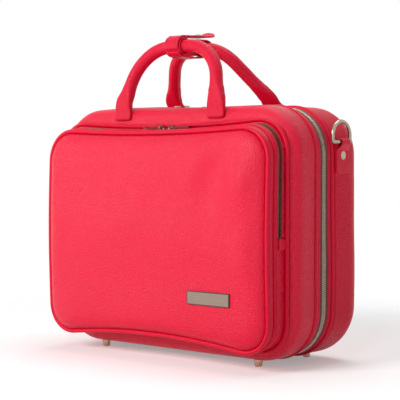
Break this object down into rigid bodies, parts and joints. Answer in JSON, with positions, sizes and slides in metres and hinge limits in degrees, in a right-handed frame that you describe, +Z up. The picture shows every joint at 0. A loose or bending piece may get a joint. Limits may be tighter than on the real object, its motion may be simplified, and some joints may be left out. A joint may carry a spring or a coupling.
{
  "type": "oboe case",
  "caption": "Briefcase-style padded leather oboe case with zip-round lid, front pocket, twin rolled handles, fitted tray and D-rings.",
  "frame": {"origin": "on the floor under the middle of the whole case", "axes": "+X to the right along the width seen from the pocket side, +Y to the rear, +Z up"},
  "size_m": [0.3674, 0.1652, 0.366],
  "materials": {
    "red_leather": "pebble-grained bright red leather, semi-gloss",
    "leather_trim": "smooth folded red leather with stitched edges",
    "handle_leather": "rolled red leather with a seam on the inside",
    "board": "thin plywood board",
    "handle_core": "plain flexible core",
    "plush": "short black plush",
    "zip_tape": "woven red tape",
    "zip_metal": "polished pale gold teeth",
    "bright_metal": "polished warm nickel",
    "foot_metal": "polished pale gold studs",
    "badge_metal": "bare satin plate with a dark edge"
  },
  "bodies": {
    "rear_half": {"rear_cover": "red_leather", "rear_board": "board", "rear_lining": "plush", "rear_welt": "leather_trim", "rear_edge_band": "red_leather", "rear_zip_row": "zip_metal", "rear_zip_tape": "zip_tape", "hinge_strip": "leather_trim", "rear_feet": "foot_metal", "instrument_tray": "plush", "rear_handle_tabs": "leather_trim", "strap_tab_right": "leather_trim", "strap_tab_left": "leather_trim", "tab_rivets": "bright_metal"},
    "lid": {"front_cover": "red_leather", "front_board": "board", "front_lining": "plush", "front_welt": "leather_trim", "front_edge_band": "red_leather", "front_zip_row": "zip_metal", "front_zip_tape": "zip_tape", "front_feet": "foot_metal", "lid_pad": "plush", "front_handle_tabs": "leather_trim", "pocket_welt": "leather_trim", "pocket_rear_gusset": "red_leather", "pocket_zip_row_rear": "zip_metal", "pocket_lower_wall": "red_leather", "pocket_lower_outer_strip": "red_leather", "pocket_lower_piping": "leather_trim", "pocket_lower_inner_piping": "leather_trim", "pocket_lower_panel": "red_leather", "pocket_end_tabs": "leather_trim", "badge_plate": "badge_metal"},
    "pocket_flap": {"pocket_upper_panel": "red_leather", "pocket_upper_outer_strip": "red_leather", "pocket_upper_piping": "leather_trim", "pocket_upper_inner_piping": "leather_trim", "pocket_zip_side_strip": "red_leather", "pocket_zip_row_front": "zip_metal"},
    "front_handle": {"front_handle": "handle_leather", "front_handle_core": "handle_core", "wrap_band": "leather_trim", "wrap_strap": "leather_trim", "snap_stud": "bright_metal"},
    "wrap_flap": {"wrap_tongue": "leather_trim", "snap_cap": "bright_metal"},
    "rear_handle": {"rear_handle": "handle_leather", "rear_handle_core": "handle_core"},
    "right_d_ring": {"d_ring_right": "bright_metal"},
    "left_d_ring": {"d_ring_left": "bright_metal"},
    "main_left_slider": {"main_slider_left": "bright_metal"},
    "main_left_pull": {"main_pull_left": "bright_metal"},
    "main_right_slider": {"main_slider_right": "bright_metal"},
    "main_right_pull": {"main_pull_right": "bright_metal"},
    "pocket_left_slider": {"pocket_slider_left": "bright_metal"},
    "pocket_left_pull": {"pocket_pull_left": "bright_metal"},
    "pocket_right_slider": {"pocket_slider_right": "bright_metal"},
    "pocket_right_pull": {"pocket_pull_right": "bright_metal"}
  },
  "joints": [
    {"name": "lid_hinge", "type": "hinge", "parent": "rear_half", "child": "lid", "pos_m": [0, 0.0083, 0.0075], "axis": [1, 0, 0], "range_deg": [0, 160], "deforming": ["hinge_strip", "wrap_strap"]},
    {"name": "pocket_flap_fold", "type": "hinge", "parent": "lid", "child": "pocket_flap", "pos_m": [0, -0.0814, 0.1395], "axis": [1, 0, 0], "range_deg": [0, 120]},
    {"name": "front_handle_swing", "type": "hinge", "parent": "lid", "child": "front_handle", "pos_m": [0, -0.0436, 0.2841], "axis": [1, 0, 0], "range_deg": [0, 100]},
    {"name": "rear_handle_swing", "type": "hinge", "parent": "rear_half", "child": "rear_handle", "pos_m": [0, 0.0443, 0.28835], "axis": [1, 0, 0], "range_deg": [-100, 0]},
    {"name": "wrap_flap_lift", "type": "hinge", "parent": "front_handle", "child": "wrap_flap", "pos_m": [-0.0025, -0.0257, 0.35745], "axis": [1, 0, 0], "range_deg": [0, 110]},
    {"name": "right_d_ring_swing", "type": "hinge", "parent": "rear_half", "child": "right_d_ring", "pos_m": [0.1795, 0.031, 0.2385], "axis": [0, 1, 0], "range_deg": [0, 165]},
    {"name": "left_d_ring_swing", "type": "hinge", "parent": "rear_half", "child": "left_d_ring", "pos_m": [-0.1795, 0.031, 0.2385], "axis": [0, -1, 0], "range_deg": [0, 165]},
    {"name": "main_left_slider_travel", "type": "slide", "parent": "rear_half", "child": "main_left_slider", "axis": [-1, 0, 0], "range_m": [0, 0.078]},
    {"name": "main_left_pull_lift", "type": "hinge", "parent": "main_left_slider", "child": "main_left_pull", "pos_m": [-0.0335, 0.0083, 0.27945], "axis": [0, 1, 0], "range_deg": [0, 100]},
    {"name": "main_right_slider_travel", "type": "slide", "parent": "rear_half", "child": "main_right_slider", "axis": [1, 0, 0], "range_m": [0, 0.131]},
    {"name": "main_right_pull_lift", "type": "hinge", "parent": "main_right_slider", "child": "main_right_pull", "pos_m": [-0.0195, 0.0083, 0.27945], "axis": [0, -1, 0], "range_deg": [0, 100]},
    {"name": "pocket_left_slider_travel", "type": "hinge", "parent": "lid", "child": "pocket_left_slider", "pos_m": [0, -0.0527, 2.02717], "axis": [0, 1, 0], "range_deg": [0, 3.39]},
    {"name": "pocket_left_pull_lift", "type": "hinge", "parent": "pocket_left_slider", "child": "pocket_left_pull", "pos_m": [-0.001, -0.05357, 0.25566], "axis": [0, 0.9741, 0.2259], "range_deg": [0, 100]},
    {"name": "pocket_right_slider_travel", "type": "hinge", "parent": "lid", "child": "pocket_right_slider", "pos_m": [0, -0.0527, 2.02717], "axis": [0, -1, 0], "range_deg": [0, 3.07]},
    {"name": "pocket_right_pull_lift", "type": "hinge", "parent": "pocket_right_slider", "child": "pocket_right_pull", "pos_m": [0.013, -0.05357, 0.25571], "axis": [0, -0.9741, -0.2259], "range_deg": [0, 100]}
  ]
}
